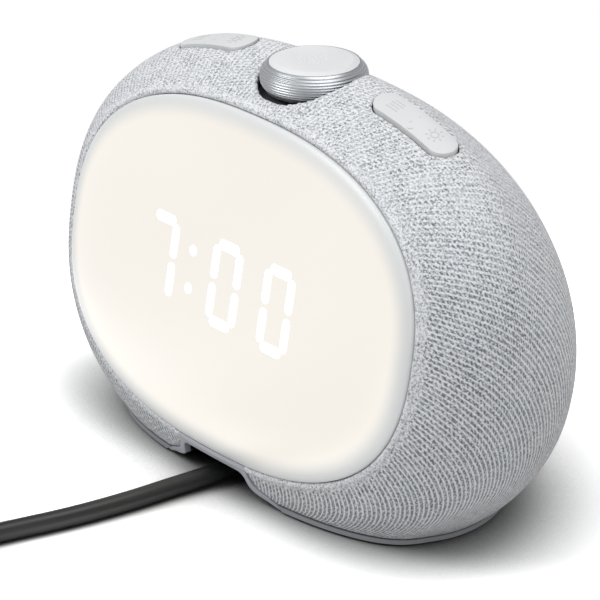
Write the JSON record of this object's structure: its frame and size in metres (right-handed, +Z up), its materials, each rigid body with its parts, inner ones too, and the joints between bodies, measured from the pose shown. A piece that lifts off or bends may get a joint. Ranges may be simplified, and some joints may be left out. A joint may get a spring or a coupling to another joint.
{
  "type": "alarm clock",
  "caption": "Bedside light-up alarm clock with a fabric-covered body, a domed lit face, a turning and pressing top dial, two rocking button pads and a mains lead.",
  "frame": {"origin": "on the floor, below the middle of the clock without its mains lead", "axes": "+Z up, -Y the way the lit face looks, +X to the right for someone facing the lit face"},
  "size_m": [0.1995, 0.2475, 0.1279],
  "materials": {
    "black_plastic": "matte",
    "brass": "polished",
    "capacitor_can": "satin",
    "chassis_plastic": "matte",
    "chip_epoxy": "matte",
    "control_plastic": "satin",
    "cord_pvc": "satin",
    "digit_white": "satin",
    "ferrite": "matte",
    "foam": "matte",
    "knit_fabric": "matte",
    "led_phosphor": "satin",
    "opal_acrylic": "satin",
    "paper_cone": "matte",
    "pcb_laminate": "satin",
    "silicone_rubber": "matte",
    "steel": "brushed",
    "transformer_tape": "satin",
    "trim_plastic": "satin",
    "white_laminate": "satin",
    "white_plastic": "matte",
    "zinc_steel": "polished"
  },
  "bodies": {
    "clock": {"arch_trim": "trim_plastic", "backup_cell": "zinc_steel", "ballast_plate": "steel", "base_plate": "trim_plastic", "base_screws": "steel", "board_components": "chip_epoxy", "board_screws": "steel", "capacitors": "capacitor_can", "cell_holder": "black_plastic", "control_board": "pcb_laminate", "control_screws": "steel", "cord_gland": "cord_pvc", "cord_tie": "black_plastic", "dial_well": "chassis_plastic", "diffuser_lens": "opal_acrylic", "digit_bars": "digit_white", "display_block": "white_plastic", "encoder_body": "black_plastic", "encoder_nut": "zinc_steel", "fabric_sleeve": "knit_fabric", "front_shell": "chassis_plastic", "lead_coil": "cord_pvc", "led_board": "white_laminate", "leds": "led_phosphor", "left_pad_frame": "trim_plastic", "light_seal": "foam", "light_tray": "white_plastic", "main_board": "pcb_laminate", "mains_lead": "cord_pvc", "pad_pins": "steel", "plug_body": "cord_pvc", "plug_pins": "brass", "port_board": "pcb_laminate", "port_panel": "trim_plastic", "power_board": "pcb_laminate", "power_screws": "steel", "push_switches": "black_plastic", "rear_shell": "chassis_plastic", "right_pad_frame": "trim_plastic", "rubber_feet": "silicone_rubber", "speaker_basket": "steel", "speaker_box": "black_plastic", "speaker_cone": "paper_cone", "speaker_gasket": "foam", "speaker_magnet": "ferrite", "speaker_surround": "silicone_rubber", "transformer": "transformer_tape", "usb_a_socket": "zinc_steel", "usb_c_socket": "zinc_steel"},
    "dial_carriage": {"encoder_shaft": "steel"},
    "dial": {"dial_ring": "control_plastic", "dial_cap": "control_plastic"},
    "left_rocker": {"left_pad": "control_plastic"},
    "right_rocker": {"right_pad": "control_plastic"}
  },
  "joints": [
    {"name": "dial_press", "type": "slide", "parent": "clock", "child": "dial_carriage", "axis": [0, 0, -1], "range_m": [0, 0.0006], "stiffness_N_per_m": 2000},
    {"name": "dial_turn", "type": "hinge", "parent": "dial_carriage", "child": "dial", "pos_m": [0, -0.00952, 0.12], "axis": [0, 0, -1], "continuous": true},
    {"name": "left_pad_rock", "type": "hinge", "parent": "clock", "child": "left_rocker", "pos_m": [-0.0458, -0.00952, 0.11699], "axis": [0, 1, 0], "range_deg": [-1.5, 1.5], "stiffness_Nm_per_rad": 0.5},
    {"name": "right_pad_rock", "type": "hinge", "parent": "clock", "child": "right_rocker", "pos_m": [0.0458, -0.00952, 0.11699], "axis": [0, 1, 0], "range_deg": [-1.5, 1.5], "stiffness_Nm_per_rad": 0.5}
  ]
}
